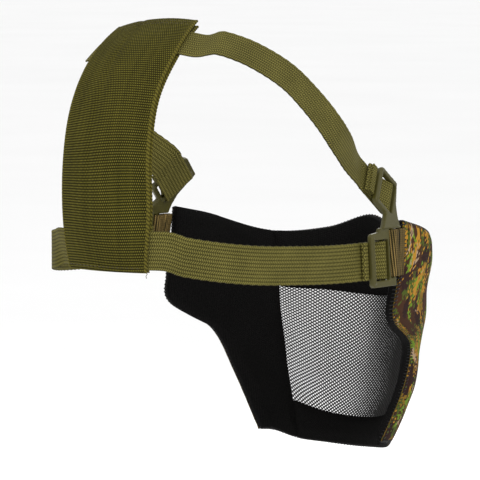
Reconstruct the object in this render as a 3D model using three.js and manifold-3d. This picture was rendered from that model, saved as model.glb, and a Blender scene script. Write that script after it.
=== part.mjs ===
// Half-face mask with a strap harness, as it sits on a head.
// Millimetres. Z is up, the wearer faces -Y, the wearer's left is +X.
// The origin is midway between the ears.

import * as THREE from 'three';
import { mergeVertices } from 'three/addons/utils/BufferGeometryUtils.js';
import Module from 'manifold-3d';

const wasm = await Module();
wasm.setup();

// ---------------------------------------------------------------- dimensions

const GAP = 0.3;

// head form that the harness lies on: half width, back, front, and the crown's rise above its base
const FORM = { half: 77, back: 108, front: 109, crown: 102, base: 40, roundness: 2.47, taper: 2.19, nape: 0.045 };

// webbing and elastic
const STRAP_WIDTH = 20.5;
const STRAP_THICK = 1.2;
// half widths of the panel on each side of its middle line, from its low end to the crown
const PANEL_EDGES = {
  right: [25.5, 31, 30.3, 28.8, 29.6, 28.2],
  left: [27.8, 27.2, 26.3, 26.2, 24.5, 20.3],
};
const PANEL_THICK = 1.1;
const PANEL_LEAN = { low: 0.5, top: 15, power: 2.2 };
const PANEL_ROLL = THREE.MathUtils.degToRad(5);
const PANEL_DROP = 0.4;
const TAB_WIDTH = 25;
const TAB_THICK = 1.2;

// undersides of the layers, measured from the head form
const STRAP_LIFT = -1.4;
const PANEL_OUTER_LIFT = STRAP_LIFT + STRAP_THICK + GAP;
const PANEL_INNER_LIFT = STRAP_LIFT - GAP - PANEL_THICK;

// heights of the panel's rows, and of the straps held between its layers
const PANEL_HEIGHTS = [6, 15, 25, 36, 48, 60, 72, 83, 93, 102, 110, 117, 123, 128, 131.5, 134];
const SLEEVE_HEIGHTS = [7.2, 13.9, 20.6, 27.4];
const STUB_HEIGHTS = { right: [117.6, 122.4, 126.6, 130.2], left: [119.6, 124, 127.8, 130.8] };
const STUB_INNER = 0.45;
const STUB_OUTER = 0.965;

// buckle: u runs back from the front bar, v runs up, n points away from the head
const BUCKLE_ORIGIN = { x: 82.1, y: -37.5, z: 6.85 };
const BUCKLE_LEAN = THREE.MathUtils.degToRad(3.5);
const UPPER_LEAN = THREE.MathUtils.degToRad(21.3);
const UPPER_YAW = THREE.MathUtils.degToRad(8.9);
const FOLD = 17;
const PLATE_THICK = 3;
const FRONT_BAR = { radius: 1.5, low: -9.9, high: 16.2 };
const INNER_BAR = { along: 7.6, depth: -1.7, radius: 1.3 };
const ARMS = {
  lower: { u: 0, v: 0, angle: 0, length: 19.8, half: 14.35, window: { near: 4.5, far: 17.6, half: 10.9 } },
  upper: {
    u: -14.5,
    v: 10.7,
    angle: THREE.MathUtils.degToRad(46.8),
    length: 19.8,
    half: 13.6,
    window: { near: 4.5, far: 17.6, half: 10.7 },
  },
};
const TAB_CENTRE = 3.15;
const TAB_REACH = 10.9;
const TAB_SLANT = 0.14;
const LOOP_REACH = 26;
const STRAP_START = 3;
const MAIN_DEPTH = -3.9;
const TAIL_DEPTH = -2.4;
const TAIL_FROM = 16.7;

// padded layers of the mask, measured inward from its outer surface
const COVER = { thick: 0.9, rim: 1.5 };
const LINING = { rim: 1.8, from: 6.7, to: 7.5 };
const FOAM = { from: 1.3, to: 6.3 };
const MESH = { from: 3, to: 4 };
const WINDOW_SIDE = 0.5;
const WINDOW_LOW = 0.11;
const WINDOW_HIGH = 0.64;

// outer surface of the mask, left half: rows from chin to eyes, each from the centre to the wing's edge
const MASK_ROWS = [
  [[0, -114.5, -110], [17.5, -111.5, -109], [32, -104, -107], [41, -94, -102.5], [44, -83, -101]],
  [[0, -125, -89], [22.5, -120, -86], [42, -109.5, -78], [56.5, -94.5, -69], [60, -81.5, -70]],
  [[0, -130.5, -67], [24.5, -124, -63], [46, -110, -56], [62, -91, -47], [71, -73, -43]],
  [[0, -134.5, -45], [25.5, -126.5, -41], [49.5, -110.5, -36], [66.5, -89, -29], [79.5, -45.5, -27]],
  [[0, -138, -22], [26, -128.5, -20], [50.5, -110, -18], [68, -89, -12], [81, -45, -12]],
  [[0, -139, 0], [26, -129, -2], [52, -111, -2], [69.8, -91.5, 3], [82, -50.5, 8]],
  [[0, -133, 21], [26, -125, 13], [54, -110, 10], [73.5, -84, 18.5], [81, -51, 26.5]],
];

// strap routes: degrees round the head from the back, and height
const LOWER_ROUTE = [[90, 6.5], [78, 7], [66.6, 7.8], [48.8, 9.4], [38, 11.4], [29.8, 13.6], [16.5, 16.9]];
const UPPER_ROUTE = [[91.2, 73], [84.7, 83.8], [77.5, 94], [70, 103.5], [64, 109], [54.8, 115.4],
  [45.5, 120.4], [32.4, 124.6]];
const UPPER_ROUTE_KNOTS = { right: 8, left: 7 };
const UPPER_ROUTE_END = { right: [18.8, 127.4], left: [36, 123.4] };

// --------------------------------------------------------------- materials

const COLOURS = {
  camo: 0x8f7a3a,
  lining: 0x15130f,
  foam: 0x3a3a38,
  mesh: 0x0d0c0a,
  buckle: 0x55531f,
  strap: 0x6f6c2f,
  panel: 0x57561f,
  tab: 0x625f2a,
};

function material(colour, roughness, metalness = 0) {
  return new THREE.MeshStandardMaterial({ color: COLOURS[colour], roughness, metalness });
}

// ------------------------------------------------------------ solid helpers

function signedVolume(position, index) {
  const a = new THREE.Vector3();
  const b = new THREE.Vector3();
  const c = new THREE.Vector3();
  let sum = 0;
  for (let i = 0; i < index.length; i += 3) {
    a.fromArray(position, index[i] * 3);
    b.fromArray(position, index[i + 1] * 3);
    c.fromArray(position, index[i + 2] * 3);
    sum += a.dot(b.cross(c));
  }
  return sum / 6;
}

function solid(position, index) {
  const faces = Array.from(index);
  if (signedVolume(position, faces) < 0) {
    for (let i = 0; i < faces.length; i += 3) {
      [faces[i + 1], faces[i + 2]] = [faces[i + 2], faces[i + 1]];
    }
  }
  const geometry = new THREE.BufferGeometry();
  geometry.setAttribute('position', new THREE.Float32BufferAttribute(position, 3));
  geometry.setIndex(faces);
  return geometry;
}

// closed slab between two grids of points of the same size
function slab(outer, inner) {
  const rows = outer.length;
  const columns = outer[0].length;
  const position = [];
  for (const grid of [outer, inner]) {
    for (const row of grid) {
      for (const point of row) position.push(point.x, point.y, point.z);
    }
  }
  const index = [];
  const at = (layer, i, j) => layer * rows * columns + i * columns + j;
  const quad = (a, b, c, d) => index.push(a, b, c, a, c, d);
  for (let i = 0; i + 1 < rows; i += 1) {
    for (let j = 0; j + 1 < columns; j += 1) {
      quad(at(0, i, j), at(0, i, j + 1), at(0, i + 1, j + 1), at(0, i + 1, j));
      quad(at(1, i, j), at(1, i + 1, j), at(1, i + 1, j + 1), at(1, i, j + 1));
    }
    quad(at(0, i, 0), at(0, i + 1, 0), at(1, i + 1, 0), at(1, i, 0));
    quad(at(0, i, columns - 1), at(1, i, columns - 1), at(1, i + 1, columns - 1), at(0, i + 1, columns - 1));
  }
  for (let j = 0; j + 1 < columns; j += 1) {
    quad(at(0, 0, j), at(1, 0, j), at(1, 0, j + 1), at(0, 0, j + 1));
    quad(at(0, rows - 1, j), at(0, rows - 1, j + 1), at(1, rows - 1, j + 1), at(1, rows - 1, j));
  }
  return solid(position, index);
}

function welded(geometry) {
  const bare = geometry.clone();
  bare.deleteAttribute('normal');
  bare.deleteAttribute('uv');
  return mergeVertices(bare, 1e-4);
}

function toManifold(geometry) {
  const bare = welded(geometry);
  return new wasm.Manifold(new wasm.Mesh({
    numProp: 3,
    vertProperties: Float32Array.from(bare.attributes.position.array),
    triVerts: Uint32Array.from(bare.index.array),
  }));
}

function united(geometries) {
  let body = toManifold(geometries[0]);
  for (const geometry of geometries.slice(1)) body = body.add(toManifold(geometry));
  const mesh = body.getMesh();
  return solid(Array.from(mesh.vertProperties), mesh.triVerts);
}

// polygon in the first two axes, extruded along the third, centred on zero
function prism(outline, holes, depth, centre = 0) {
  const shape = new THREE.Shape(outline.map(([x, y]) => new THREE.Vector2(x, y)));
  for (const hole of holes) {
    shape.holes.push(new THREE.Path(hole.map(([x, y]) => new THREE.Vector2(x, y))));
  }
  const geometry = new THREE.ExtrudeGeometry(shape, { depth, bevelEnabled: false, steps: 1 });
  geometry.translate(0, 0, centre - depth / 2);
  return geometry;
}

// outline of a band of even thickness along a flat path
function bandOutline(path, thickness) {
  const left = [];
  const right = [];
  path.forEach(([x, y], i) => {
    const [ax, ay] = path[Math.max(i - 1, 0)];
    const [bx, by] = path[Math.min(i + 1, path.length - 1)];
    const length = Math.hypot(bx - ax, by - ay);
    const nx = (-(by - ay) / length) * (thickness / 2);
    const ny = ((bx - ax) / length) * (thickness / 2);
    left.push([x + nx, y + ny]);
    right.push([x - nx, y - ny]);
  });
  return left.concat(right.reverse());
}

function circle(x, y, radius, count) {
  return Array.from({ length: count }, (_, i) => {
    const angle = (i / count) * 2 * Math.PI;
    return [x + radius * Math.cos(angle), y + radius * Math.sin(angle)];
  });
}

// moves a geometry into the axes given as columns; a mirrored frame keeps it facing out
function placed(geometry, xAxis, yAxis, zAxis, origin) {
  const matrix = new THREE.Matrix4().makeBasis(xAxis, yAxis, zAxis).setPosition(origin);
  const bare = welded(geometry).applyMatrix4(matrix);
  return solid(Array.from(bare.attributes.position.array), bare.index.array);
}

// ---------------------------------------------------------------- head form

function formPoint(degrees, height) {
  const { half, back, front, crown, base, roundness, taper, nape } = FORM;
  const angle = THREE.MathUtils.degToRad(degrees);
  const x = Math.sin(angle);
  const y = Math.cos(angle);
  const rise = Math.max(height - base, 0) / crown;
  const hollow = nape * Math.max(y, 0) * (Math.max(base - height, 0) / 33) ** 2;
  const depth = y > 0 ? back : front;
  const span = (Math.abs(x / half) ** roundness + Math.abs(y / depth) ** roundness) ** (-1 / roundness);
  const reach = span * (1 - rise ** taper) ** (1 / taper) * (1 - hollow);
  return new THREE.Vector3(x * reach, y * reach, height);
}

function formNormal(point) {
  const { half, back, front, crown, base, roundness, taper } = FORM;
  const depth = point.y > 0 ? back : front;
  const x = Math.abs(point.x / half);
  const y = Math.abs(point.y / depth);
  const level = (x ** roundness + y ** roundness) ** ((taper - roundness) / roundness);
  const rise = Math.max(point.z - base, 0) / crown;
  return new THREE.Vector3(
    (level * Math.sign(point.x) * x ** (roundness - 1)) / half,
    (level * Math.sign(point.y) * y ** (roundness - 1)) / depth,
    rise ** (taper - 1) / crown,
  ).normalize();
}

// ----------------------------------------------------------------- webbing

// flat strap along a list of points, lying across the outward normals
function ribbon(points, normals, width, thickness) {
  const outer = [];
  const inner = [];
  points.forEach((point, i) => {
    const along = points[Math.min(i + 1, points.length - 1)].clone().sub(points[Math.max(i - 1, 0)]).normalize();
    const across = new THREE.Vector3().crossVectors(along, normals[i]).normalize();
    const up = new THREE.Vector3().crossVectors(across, along).normalize();
    const edge = (side, lift) => point.clone()
      .addScaledVector(across, (side * width) / 2)
      .addScaledVector(up, (lift * thickness) / 2);
    outer.push([edge(-1, 1), edge(1, 1)]);
    inner.push([edge(-1, -1), edge(1, -1)]);
  });
  return slab(outer, inner);
}

// smooth strap that leaves the buckle along its lead, then follows a route over the head form
function routedStrap(side, lead, leadNormal, route, stations) {
  const lift = STRAP_LIFT + STRAP_THICK / 2;
  const knots = [lead[1].clone()];
  for (const [degrees, height] of route) {
    const point = formPoint(side * degrees, height);
    knots.push(point.addScaledVector(formNormal(point), lift));
  }
  const curve = new THREE.CatmullRomCurve3(knots, false, 'centripetal');
  const points = [lead[0], ...curve.getSpacedPoints(stations)];
  const normals = points.map((point) => {
    const share = THREE.MathUtils.smoothstep(point.distanceTo(lead[0]), 3, 30);
    return leadNormal.clone().lerp(formNormal(point), share).normalize();
  });
  return ribbon(points, normals, STRAP_WIDTH, STRAP_THICK);
}

const PANEL_LENGTHS = PANEL_HEIGHTS.reduce((lengths, height, i) => {
  const step = i === 0 ? 0 : formPoint(0, height).distanceTo(formPoint(0, PANEL_HEIGHTS[i - 1]));
  return [...lengths, (lengths[i - 1] ?? 0) + step];
}, []);

// middle of the panel at one height; the panel leans to the wearer's left towards the crown
function panelCentre(height) {
  const i = Math.min(Math.max(PANEL_HEIGHTS.findIndex((each) => each >= height), 1), PANEL_HEIGHTS.length - 1);
  const part = (height - PANEL_HEIGHTS[i - 1]) / (PANEL_HEIGHTS[i] - PANEL_HEIGHTS[i - 1]);
  const length = PANEL_LENGTHS[i - 1] + part * (PANEL_LENGTHS[i] - PANEL_LENGTHS[i - 1]);
  const share = length / PANEL_LENGTHS[PANEL_LENGTHS.length - 1];
  const point = formPoint(0, height);
  point.x = PANEL_LEAN.low + (PANEL_LEAN.top - PANEL_LEAN.low) * share ** PANEL_LEAN.power;
  return { point, share };
}

function panelPoint(height, offset, lift) {
  const { point, share } = panelCentre(height);
  const normal = formNormal(point);
  const above = panelCentre(Math.min(height + 1, 134)).point;
  const below = panelCentre(Math.max(height - 1, 6)).point;
  const across = new THREE.Vector3().crossVectors(above.sub(below).normalize(), normal).normalize();
  const radius = 70 + 30 * share;
  const turn = offset / radius;
  const roll = PANEL_ROLL * share ** 2;
  const right = (radius + lift) * Math.sin(turn);
  const out = (radius + lift) * Math.cos(turn) - radius;
  return point
    .addScaledVector(across, right * Math.cos(roll) + out * Math.sin(roll))
    .addScaledVector(normal, out * Math.cos(roll) - right * Math.sin(roll) - PANEL_DROP * share ** 2);
}

// shares run from -1 at the wearer's left edge to 1 at the right edge
function panelSlab(heights, shares, lift, thickness) {
  const place = (height, share, level) => {
    const edges = share > 0 ? PANEL_EDGES.right : PANEL_EDGES.left;
    return panelPoint(height, share * splineAt(edges, panelCentre(height).share), level);
  };
  const face = (level) => heights.map((height) => shares.map((share) => place(height, share, level)));
  return slab(face(lift + thickness), face(lift));
}

// ------------------------------------------------------------------- mask

function catmull(a, b, c, d, t) {
  return 0.5 * (2 * b + (c - a) * t + (2 * a - 5 * b + 4 * c - d) * t * t + (3 * b - a - 3 * c + d) * t ** 3);
}

function splineAt(values, share) {
  const last = values.length - 1;
  const place = Math.min(Math.max(share, 0), 1) * last;
  const i = Math.min(Math.floor(place), last - 1);
  const b = values[i];
  const c = values[i + 1];
  const a = i > 0 ? values[i - 1] : 2 * b - c;
  const d = i + 2 <= last ? values[i + 2] : 2 * c - b;
  return catmull(a, b, c, d, place - i);
}

const FULL_ROWS = MASK_ROWS.map((row) => {
  const mirrored = row.slice(1).reverse().map(([x, y, z]) => [-x, y, z]);
  return mirrored.concat(row);
});

// t runs from the right wing's edge (-1) to the left wing's edge (+1), v from the chin (0) up (1)
function maskSurface(t, v) {
  const coordinate = (axis) => splineAt(
    FULL_ROWS.map((row) => splineAt(row.map((point) => point[axis]), (t + 1) / 2)), v);
  return new THREE.Vector3(coordinate(0), coordinate(1), coordinate(2));
}

function maskPoint(t, v, depth) {
  const step = 0.01;
  const right = maskSurface(Math.max(t - step, -1), v);
  const left = maskSurface(Math.min(t + step, 1), v);
  const low = maskSurface(t, Math.max(v - step, 0));
  const high = maskSurface(t, Math.min(v + step, 1));
  const inward = new THREE.Vector3().crossVectors(high.sub(low), left.sub(right)).normalize();
  return maskSurface(t, v).addScaledVector(inward, depth);
}

function spread(from, to, count) {
  return Array.from({ length: count + 1 }, (_, i) => from + ((to - from) * i) / count);
}

function maskSlab(ts, vs, outerDepth, innerDepth) {
  const face = (depth) => vs.map((v, i) => ts.map((t, j) => maskPoint(t, v, depth(i, j))));
  return slab(face(outerDepth), face(innerDepth));
}

// cover, foam and lining of one padded piece; the edges of cover and lining turn towards each other
function paddedPiece(from, to, low, high, across, up) {
  const rimT = 0.014;
  const rimV = 0.017;
  const wall = 0.003;
  const ts = [from, from + rimT, ...spread(from + rimT + wall, to - rimT - wall, across), to - rimT, to];
  const vs = [low, low + rimV, ...spread(low + rimV + wall, high - rimV - wall, up), high - rimV, high];
  const inRim = (i, j) => i < 2 || j < 2 || i > vs.length - 3 || j > ts.length - 3;
  const cover = maskSlab(ts, vs, () => 0, (i, j) => (inRim(i, j) ? COVER.rim : COVER.thick));
  const lining = maskSlab(ts, vs, (i, j) => (inRim(i, j) ? LINING.rim : LINING.from), () => LINING.to);
  const fit = 0.005;
  const foam = maskSlab(
    spread(from + rimT + wall + fit, to - rimT - wall - fit, across),
    spread(low + rimV + wall + fit, high - rimV - wall - fit, up),
    () => FOAM.from,
    () => FOAM.to,
  );
  return { cover, foam, lining };
}

// ------------------------------------------------------------------ buckle

// flat axes of the plate below the fold and of the arm above it
function plateFrame(side, lean, yaw) {
  const u = new THREE.Vector3(side * Math.sin(yaw), Math.cos(yaw), 0);
  const n = new THREE.Vector3(side * Math.cos(lean) * Math.cos(yaw), -Math.cos(lean) * Math.sin(yaw), Math.sin(lean));
  const v = new THREE.Vector3().crossVectors(n, u).multiplyScalar(side);
  return { u, v, n };
}

function armFrame(side, name) {
  const arm = ARMS[name];
  const base = plateFrame(side, BUCKLE_LEAN, 0);
  const start = new THREE.Vector3(side * BUCKLE_ORIGIN.x, BUCKLE_ORIGIN.y, BUCKLE_ORIGIN.z);
  if (name === 'upper') start.addScaledVector(base.v, FOLD);
  const { u, v, n } = name === 'upper' ? plateFrame(side, UPPER_LEAN, UPPER_YAW) : base;
  const origin = start.clone();
  start.addScaledVector(u, arm.u).addScaledVector(v, arm.v);
  const along = u.clone().multiplyScalar(Math.cos(arm.angle)).addScaledVector(v, Math.sin(arm.angle));
  const across = v.clone().multiplyScalar(Math.cos(arm.angle)).addScaledVector(u, -Math.sin(arm.angle));
  return { u, v, n, origin, along, across, start };
}

function onArm(arm, along, across) {
  const c = Math.cos(arm.angle);
  const s = Math.sin(arm.angle);
  return [arm.u + along * c - across * s, arm.v + along * s + across * c];
}

function armWindow(arm) {
  const { near, far, half } = arm.window;
  return [[near, -half], [far, -half], [far, half], [near, half]].map(([s, w]) => onArm(arm, s, w));
}

function armBars(arm) {
  const turned = new THREE.Matrix4().makeRotationZ(arm.angle);
  const [u, v] = onArm(arm, INNER_BAR.along, 0);
  const bar = new THREE.CylinderGeometry(INNER_BAR.radius, INNER_BAR.radius, 2 * arm.window.half + 1.5, 14);
  bar.applyMatrix4(turned.clone().setPosition(u, v, INNER_BAR.depth));
  const [ru, rv] = onArm(arm, arm.length - 1.5, 0);
  const ridge = prism(bandOutline([[0, 2 - arm.half], [0, arm.half - 2]], 1.4), [], 1, PLATE_THICK / 2 + 0.2);
  ridge.applyMatrix4(turned.clone().setPosition(ru, rv, 0));
  return [bar, ridge];
}

function buckleGeometry(side) {
  const { lower, upper } = ARMS;
  const lowOutline = [
    [-1.5, -lower.half], [lower.length - 1.5, -lower.half], [lower.length, 1.5 - lower.half],
    [lower.length, lower.half - 1.5], [lower.length - 1.5, lower.half], [12, lower.half + 0.6], [11, FOLD],
    [-8.5, FOLD], [-7.5, FRONT_BAR.high], [3.4, FRONT_BAR.high], [3.4, FRONT_BAR.low], [-1.5, FRONT_BAR.low],
  ];
  const highOutline = [
    [11, -0.4], onArm(upper, 9, -upper.half), onArm(upper, upper.length - 1.5, -upper.half),
    onArm(upper, upper.length, 1.5 - upper.half), onArm(upper, upper.length, upper.half - 2),
    onArm(upper, upper.length - 2, upper.half), onArm(upper, 4, upper.half), [-12, 11],
    [-9.5, 5], [-8.5, -0.4],
  ];
  const low = armFrame(side, 'lower');
  const high = armFrame(side, 'upper');
  const front = new THREE.CylinderGeometry(
    FRONT_BAR.radius, FRONT_BAR.radius, FRONT_BAR.high - FRONT_BAR.low + 1.6, 16);
  front.translate(0, (FRONT_BAR.high + FRONT_BAR.low) / 2, 0);
  const lowPieces = [prism(lowOutline, [armWindow(lower)], PLATE_THICK), front, ...armBars(lower)];
  const highPieces = [prism(highOutline, [armWindow(upper)], PLATE_THICK), ...armBars(upper)];
  return united([
    ...lowPieces.map((piece) => placed(piece, low.u, low.v, low.n, low.origin)),
    ...highPieces.map((piece) => placed(piece, high.u, high.v, high.n, high.origin)),
  ]);
}

// strap end that comes in under the outer bar, turns round the inner bar and goes back out
function loopGeometry(side, name) {
  const radius = INNER_BAR.radius + GAP + STRAP_THICK / 2;
  const path = [[LOOP_REACH, MAIN_DEPTH]];
  for (let i = 0; i <= 10; i += 1) {
    const angle = -Math.PI / 2 - (i / 10) * Math.PI * 1.11;
    path.push([INNER_BAR.along + radius * Math.cos(angle), INNER_BAR.depth + radius * Math.sin(angle)]);
  }
  path.push([13.4, TAIL_DEPTH + 0.6], [15.2, TAIL_DEPTH], [16.4, TAIL_DEPTH]);
  const { along, across, n, start } = armFrame(side, name);
  return placed(prism(bandOutline(path, STRAP_THICK), [], STRAP_WIDTH), along, n, across, start);
}

// short end of a strap with its hem folded to a thicker edge
function tailGeometry(side, name, hemLength, hemThick) {
  const base = TAIL_DEPTH - STRAP_THICK / 2;
  const hemFrom = ARMS[name].length + 0.5;
  const outline = [
    [TAIL_FROM, base], [hemFrom + hemLength, base], [hemFrom + hemLength, base + hemThick],
    [hemFrom, base + hemThick], [hemFrom, base + STRAP_THICK], [TAIL_FROM, base + STRAP_THICK],
  ];
  const { along, across, n, start } = armFrame(side, name);
  return placed(prism(outline, [], STRAP_WIDTH), along, n, across, start);
}

// webbing folded round the buckle's front bar and running forward to the wing's edge
function tabGeometry(side) {
  const inner = FRONT_BAR.radius + GAP;
  const outer = inner + TAB_THICK;
  const outline = [];
  for (let i = 0; i <= 12; i += 1) {
    const angle = THREE.MathUtils.degToRad(-105 + (i / 12) * 210);
    outline.push([outer * Math.cos(angle), outer * Math.sin(angle)]);
  }
  outline.push([-TAB_REACH, 0.7], [-TAB_REACH, -2]);
  const geometry = prism(outline, [circle(0, 0, inner, 20)], TAB_WIDTH, TAB_CENTRE);
  const position = geometry.attributes.position;
  for (let i = 0; i < position.count; i += 1) {
    const x = position.getX(i);
    if (x < -TAB_REACH / 2) position.setX(i, x - TAB_SLANT * (position.getZ(i) - TAB_CENTRE));
  }
  const { u, v, n, origin } = armFrame(side, 'lower');
  return placed(geometry, u, n, v, origin);
}

// ---------------------------------------------------------------- assembly

const group = new THREE.Group();
group.name = 'half_face_mask';

function add(name, geometry, look) {
  const mesh = new THREE.Mesh(geometry, look);
  mesh.name = name;
  group.add(mesh);
}

const SIDES = { left: 1, right: -1 };
const seam = 0.004;

const padded = {
  nose: paddedPiece(-WINDOW_SIDE + seam, WINDOW_SIDE - seam, WINDOW_HIGH, 1, 10, 5),
  chin: paddedPiece(-WINDOW_SIDE + seam, WINDOW_SIDE - seam, 0, WINDOW_LOW, 10, 1),
  cheek_left: paddedPiece(WINDOW_SIDE, 1, 0, 1, 7, 12),
  cheek_right: paddedPiece(-1, -WINDOW_SIDE, 0, 1, 7, 12),
};
for (const [name, layers] of Object.entries(padded)) {
  add(`${name}_cover`, layers.cover, material('camo', 0.9));
  add(`${name}_foam`, layers.foam, material('foam', 0.95));
  add(`${name}_lining`, layers.lining, material('lining', 0.95));
}

add('front_mesh', maskSlab(
  spread(-WINDOW_SIDE + seam, WINDOW_SIDE - seam, 16),
  spread(WINDOW_LOW + seam, WINDOW_HIGH - seam, 8),
  () => MESH.from,
  () => MESH.to,
), material('mesh', 0.45, 0.8));

for (const [sideName, side] of Object.entries(SIDES)) {
  add(`tab_${sideName}`, tabGeometry(side), material('tab', 0.9));
  add(`buckle_${sideName}`, buckleGeometry(side), material('buckle', 0.5));
  for (const armName of Object.keys(ARMS)) {
    const hem = armName === 'upper' ? [6.5, 4] : [4.3, 2.4];
    add(`${armName}_loop_${sideName}`, loopGeometry(side, armName), material('strap', 0.85));
    add(`${armName}_tail_${sideName}`, tailGeometry(side, armName, ...hem), material('strap', 0.85));
    const { along, n, start } = armFrame(side, armName);
    const lead = [STRAP_START, STRAP_START + 3].map((extra) => start.clone()
      .addScaledVector(along, LOOP_REACH + extra)
      .addScaledVector(n, MAIN_DEPTH));
    const upperRoute = [...UPPER_ROUTE.slice(0, UPPER_ROUTE_KNOTS[sideName]), UPPER_ROUTE_END[sideName]];
    const route = armName === 'upper' ? upperRoute : LOWER_ROUTE;
    add(`${armName}_strap_${sideName}`, routedStrap(side, lead, n, route, 26), material('strap', 0.85));
  }
  add(`upper_strap_end_${sideName}`, panelSlab(
    STUB_HEIGHTS[sideName],
    spread(-side * STUB_INNER, -side * STUB_OUTER, 3),
    STRAP_LIFT,
    STRAP_THICK,
  ), material('strap', 0.85));
}

const acrossPanel = spread(-1, 1, 8);
add('panel_inner', panelSlab(PANEL_HEIGHTS, acrossPanel, PANEL_INNER_LIFT, PANEL_THICK), material('panel', 0.9));
add('panel_outer', panelSlab(PANEL_HEIGHTS, acrossPanel, PANEL_OUTER_LIFT, PANEL_THICK), material('panel', 0.9));
add('lower_strap_back', panelSlab(
  SLEEVE_HEIGHTS, spread(-0.985, 0.985, 8), STRAP_LIFT, STRAP_THICK,
), material('strap', 0.85));

export default group;
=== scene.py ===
# Half-face mask with a strap harness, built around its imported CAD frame.
# Lengths below are millimetres in the row frame (Z up, the wearer faces -Y, the wearer's left is +X).

import math
import random

import bpy
import numpy as np
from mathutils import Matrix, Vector


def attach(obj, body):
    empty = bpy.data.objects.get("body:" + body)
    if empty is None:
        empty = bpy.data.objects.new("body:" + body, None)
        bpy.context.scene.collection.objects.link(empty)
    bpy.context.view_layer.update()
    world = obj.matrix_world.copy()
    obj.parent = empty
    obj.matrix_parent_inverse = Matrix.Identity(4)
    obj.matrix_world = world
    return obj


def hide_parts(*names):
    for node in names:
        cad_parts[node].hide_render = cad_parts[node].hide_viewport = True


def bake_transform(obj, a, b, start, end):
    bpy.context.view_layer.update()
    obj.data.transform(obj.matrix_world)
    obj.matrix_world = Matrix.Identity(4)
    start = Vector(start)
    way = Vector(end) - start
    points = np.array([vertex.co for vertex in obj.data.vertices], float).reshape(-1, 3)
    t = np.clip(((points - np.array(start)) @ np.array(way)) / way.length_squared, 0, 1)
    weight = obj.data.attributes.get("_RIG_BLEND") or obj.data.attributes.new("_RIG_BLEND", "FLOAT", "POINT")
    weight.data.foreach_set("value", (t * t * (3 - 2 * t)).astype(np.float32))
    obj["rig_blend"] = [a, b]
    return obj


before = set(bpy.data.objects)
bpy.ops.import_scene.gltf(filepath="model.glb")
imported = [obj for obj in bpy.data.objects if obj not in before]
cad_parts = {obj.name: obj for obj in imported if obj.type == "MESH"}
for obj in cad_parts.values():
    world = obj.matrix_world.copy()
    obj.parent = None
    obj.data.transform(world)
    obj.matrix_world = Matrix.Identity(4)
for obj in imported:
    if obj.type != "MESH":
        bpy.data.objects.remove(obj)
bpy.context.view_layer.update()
MM = 0.001
rng = random.Random(7)

# ---------------------------------------------------------------- dimensions

GAP = 0.3
# the head form under the harness: a superellipse that closes above its base height
FORM = {"half": 77, "back": 108, "front": 109, "crown": 102, "base": 40, "roundness": 2.47, "taper": 2.19,
        "nape": 0.045, "nape_height": 33}

STRAP_WIDTH = 20.5
STRAP_THICK = 1.2
STRAP_ROWS = 11
STRAP_LIFT = -1.4
# distance from the panel's centre line to each edge, from its low end to its crown end
PANEL_EDGES = {
    "right": [25.5, 31, 30.3, 28.8, 29.6, 28.2],
    "left": [27.8, 27.2, 26.3, 26.2, 24.5, 20.3],
}
PANEL_HALF = 28.0
PANEL_RADIUS = {"low": 70, "more": 30}
PANEL_THICK = 1.1
PANEL_LEAN = {"low": 0.5, "top": 15, "power": 2.2}
PANEL_ROLL = math.radians(5)
PANEL_DROP = 0.4
OUTER_CLEARANCE = 0.3
PANEL_OUTER_LIFT = STRAP_LIFT + STRAP_THICK + GAP + OUTER_CLEARANCE
PANEL_INNER_LIFT = STRAP_LIFT - GAP - PANEL_THICK
PANEL_HEIGHTS = [6, 15, 25, 36, 48, 60, 72, 83, 93, 102, 110, 117, 123, 128, 131.5, 134]
SLEEVE_HEIGHT = 17.3
STRAP_ENTRY = {"right": 125.0, "left": 126.4}
STRAP_END_SHARE = 0.86
RIB_PITCH = 1.43
CORD_PITCH = 2.1

BUCKLE_ORIGIN = (82.1, -37.5, 6.85)
BUCKLE_LEAN = math.radians(3.5)
UPPER_LEAN = math.radians(21.3)
UPPER_YAW = math.radians(8.9)
FOLD = 17
PLATE_THICK = 3
MELT_VOXEL = 0.42
FRONT_BAR = 1.5
INNER_BAR = {"along": 7.6, "depth": -1.7, "radius": 1.3}
ARMS = {
    "lower": {"u": 0, "v": 0, "angle": 0, "length": 19.8, "half": 14.35, "window": 10.9},
    "upper": {"u": -14.5, "v": 10.7, "angle": math.radians(46.8), "length": 19.8, "half": 13.6, "window": 10.7},
}
WINDOW_FAR = 17.6
TAB_WIDTH = 25
TAB_CENTRE = 3.15
TAB_THICK = 1.2
TAB_REACH = 10.9
TAB_SLANT = 0.14
YARN_PITCH = 1.25
MAIN_DEPTH = -3.9
TAIL_DEPTH = -2.4
LOOP_END = 23.5
FRONT_RUN = 26
# the front strap's blend starts and ends here along the strap; the long strap's ends this far before its end
FRONT_BLEND = (2, FRONT_RUN - 8)
LONG_BLEND_END = 3
TAIL_CLOTH_START = 31.0
# a strap starts to lie along the panel, and lies fully on it, this far before its end
LAY_RUN = (24, 9)
LAY_SPAN = 27

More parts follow.
